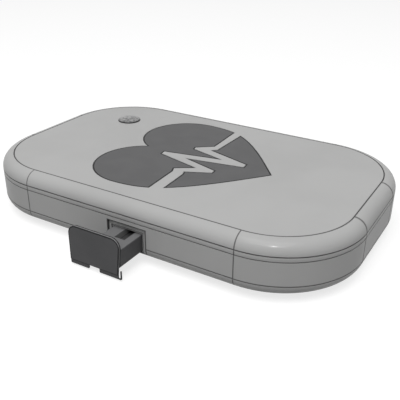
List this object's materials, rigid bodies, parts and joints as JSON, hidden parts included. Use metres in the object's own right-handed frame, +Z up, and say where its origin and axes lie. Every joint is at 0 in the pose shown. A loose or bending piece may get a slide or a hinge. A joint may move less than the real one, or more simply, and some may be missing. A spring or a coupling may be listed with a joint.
{
  "type": "automated external defibrillator",
  "caption": "Slim portable defibrillator: rounded slab case with a heart and pulse line let into its top, a domed button, a draw-out pad plug and a slide-out battery tray.",
  "frame": {"origin": "middle of the case's flat underside, 4 mm above what the rubber feet stand on", "axes": "+X along the case, +Y from the plug's side to the battery's side, +Z up out of the top panel"},
  "size_m": [0.24, 0.1702, 0.0374],
  "materials": {
    "shell_grey": "fine moulded grain, satin",
    "band_grey": "fine moulded grain, satin",
    "panel_grey": "fine moulded grain, satin",
    "heart_dark": "smooth satin",
    "button_grey": "polished, slightly clouded",
    "plug_dark": "fine spark texture",
    "socket_black": "as moulded",
    "inner_plastic": "as moulded",
    "seal_rubber": "matt",
    "foot_rubber": "matt, lightly ribbed",
    "clear_silicone": "milky",
    "switch_black": "as moulded",
    "lamp_lens": "clear moulding",
    "contact_brass": "plated",
    "screw_steel": "zinc plated",
    "board_green": "solder resist",
    "chip_black": "moulded",
    "connector_white": "moulded",
    "ferrite": "sintered",
    "winding_tape": "polyester tape",
    "relay_blue": "moulded",
    "sink_aluminium": "extruded",
    "capacitor_sleeve": "shrink sleeve",
    "speaker_steel": "pressed",
    "speaker_paper": "doped paper",
    "cell_sleeve": "plain sleeve",
    "nickel_strip": "bright strip"
  },
  "bodies": {
    "case": {"lower_shell": "shell_grey", "upper_shell": "shell_grey", "seam_band": "band_grey", "seam_gasket": "seal_rubber", "top_panel": "panel_grey", "heart_inlay_left": "heart_dark", "heart_inlay_right": "heart_dark", "button_return": "clear_silicone", "tactile_switch": "switch_black", "status_led": "lamp_lens", "light_guide": "lamp_lens", "pad_socket": "socket_black", "socket_pins": "contact_brass", "socket_screws": "screw_steel", "battery_bay": "inner_plastic", "bay_contacts": "contact_brass", "case_screws": "screw_steel", "board_screws": "screw_steel", "foot_front_left": "foot_rubber", "foot_front_right": "foot_rubber", "foot_rear_left": "foot_rubber", "foot_rear_right": "foot_rubber", "main_board": "board_green", "board_chips": "chip_black", "board_sockets": "connector_white", "power_board": "board_green", "transformer_core": "ferrite", "transformer_winding": "winding_tape", "discharge_relay": "relay_blue", "bridge_heatsink": "sink_aluminium", "bridge_switches": "chip_black", "capacitor_cradle": "inner_plastic", "shock_capacitor_1": "capacitor_sleeve", "shock_capacitor_2": "capacitor_sleeve", "speaker_frame": "speaker_steel", "speaker_cone": "speaker_paper", "speaker_magnet": "speaker_steel"},
    "button": {"power_button": "button_grey"},
    "plug": {"plug_grip": "plug_dark", "plug_block": "plug_dark", "plug_sleeves": "contact_brass"},
    "battery": {"battery_tray": "inner_plastic", "battery_cells": "cell_sleeve", "battery_links": "nickel_strip", "battery_cap": "shell_grey", "cap_screws": "screw_steel"}
  },
  "joints": [
    {"name": "plug_slide", "type": "slide", "parent": "case", "child": "plug", "axis": [0, -1, 0], "range_m": [-0.0176, 0.009]},
    {"name": "button_press", "type": "slide", "parent": "case", "child": "button", "axis": [0, 0, -1], "range_m": [0, 0.001], "stiffness_N_per_m": 1500, "deforming": ["button_return"]},
    {"name": "battery_slide", "type": "slide", "parent": "case", "child": "battery", "axis": [0, 1, 0], "range_m": [0, 0.07]}
  ]
}
